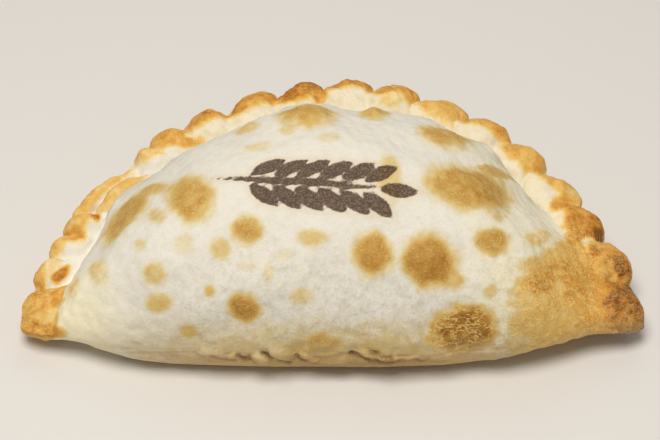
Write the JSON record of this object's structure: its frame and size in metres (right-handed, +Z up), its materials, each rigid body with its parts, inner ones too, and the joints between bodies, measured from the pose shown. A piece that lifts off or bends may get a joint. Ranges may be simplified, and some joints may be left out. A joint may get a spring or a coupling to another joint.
{
  "type": "beef empanada",
  "caption": "Baked half-moon pastry folded over a filling, with a flat base, a domed crust and a thick crimped edge that rises at the back.",
  "frame": {"origin": "centre of the bounding box's footprint, on the board the pastry stands on", "axes": "+X along the length from the left tip to the right tip, +Y from the fold towards the crimped edge, +Z up"},
  "size_m": [0.1294, 0.073, 0.0346],
  "materials": {
    "baked_dough": "matt baked wheat dough, cream with golden-brown patches"
  },
  "bodies": {
    "root": {"empanada": "baked_dough"}
  },
  "joints": []
}
